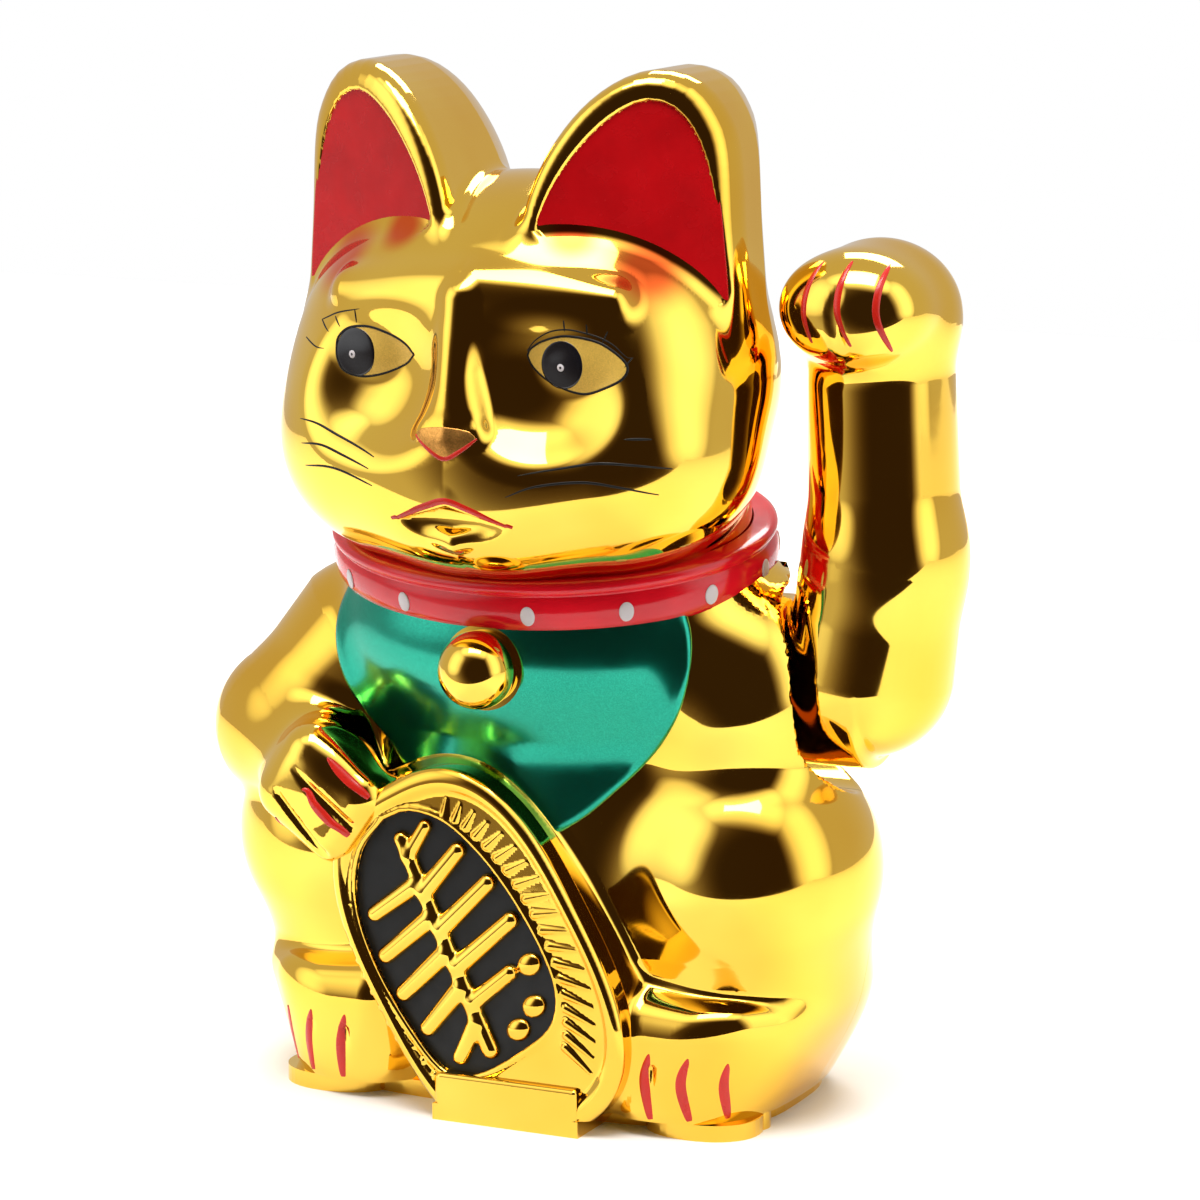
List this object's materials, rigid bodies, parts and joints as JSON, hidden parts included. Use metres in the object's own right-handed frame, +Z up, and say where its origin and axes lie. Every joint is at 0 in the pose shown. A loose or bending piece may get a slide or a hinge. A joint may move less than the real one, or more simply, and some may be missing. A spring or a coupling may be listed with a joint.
{
  "type": "beckoning cat figurine",
  "caption": "Hollow gold beckoning cat with a raised arm on a pivot, red collar, bell and green bib, holding an oval coin tablet; battery drive with pendulum, coil and magnet inside the body.",
  "frame": {"origin": "on the floor under the middle of the base, on the base plate's underside", "axes": "+Z up, the cat looks along -Y, the cat's left side with the raised arm is +X"},
  "size_m": [0.111, 0.0644, 0.1499],
  "materials": {
    "gold_shell": "vacuum metallised plastic, mirror gold under clear lacquer",
    "gold_base": "gold moulded plastic, semi gloss",
    "red_collar": "glossy red lacquer on moulded plastic",
    "green_bib": "satin metallic green paint over plastic",
    "bell_gold": "mirror gold plating on plastic",
    "black_plastic": "matte black plastic",
    "steel": "bright zinc plated steel",
    "white_plastic": "natural white moulded plastic",
    "ferrite": "sintered ferrite, dull dark grey",
    "copper_wire": "enamelled copper wire, close wound",
    "board_brown": "phenolic paper circuit board",
    "capacitor_sleeve": "dark blue shrink sleeve on an aluminium can",
    "resistor_body": "beige lacquered resistor",
    "cell_sleeve": "plain foil sleeve on a steel can",
    "nickel": "nickel plated spring steel",
    "lead_cover": "PVC covered stranded wire, one red and one black"
  },
  "bodies": {
    "body": {"front_shell": "gold_shell", "rear_shell": "gold_shell", "base_plate": "gold_base", "collar": "red_collar", "bib": "green_bib", "bell": "bell_gold", "movement_frame": "white_plastic", "frame_screws": "steel", "coil_bobbin": "white_plastic", "coil_winding": "copper_wire", "circuit_board": "board_brown", "board_screw": "steel", "transistor": "black_plastic", "capacitor": "capacitor_sleeve", "resistor": "resistor_body", "battery_cell": "cell_sleeve", "contact_spring": "nickel", "contact_plates": "nickel", "battery_leads": "lead_cover", "shell_screws": "steel", "base_screws": "steel"},
    "arm": {"arm_front_half": "gold_shell", "arm_rear_half": "gold_shell", "arm_plug": "black_plastic", "axle_pin": "steel", "axle_clips": "steel", "pendulum_lever": "white_plastic", "magnet": "ferrite", "balance_weight": "steel"},
    "cover": {"battery_cover": "gold_base"}
  },
  "joints": [
    {"name": "arm_swing", "type": "hinge", "parent": "body", "child": "arm", "pos_m": [0.035, 0.002, 0.0625], "axis": [1, 0, 0], "range_deg": [-18, 18]},
    {"name": "cover_slide", "type": "slide", "parent": "body", "child": "cover", "axis": [0, 1, 0], "range_m": [0, 0.006]}
  ]
}
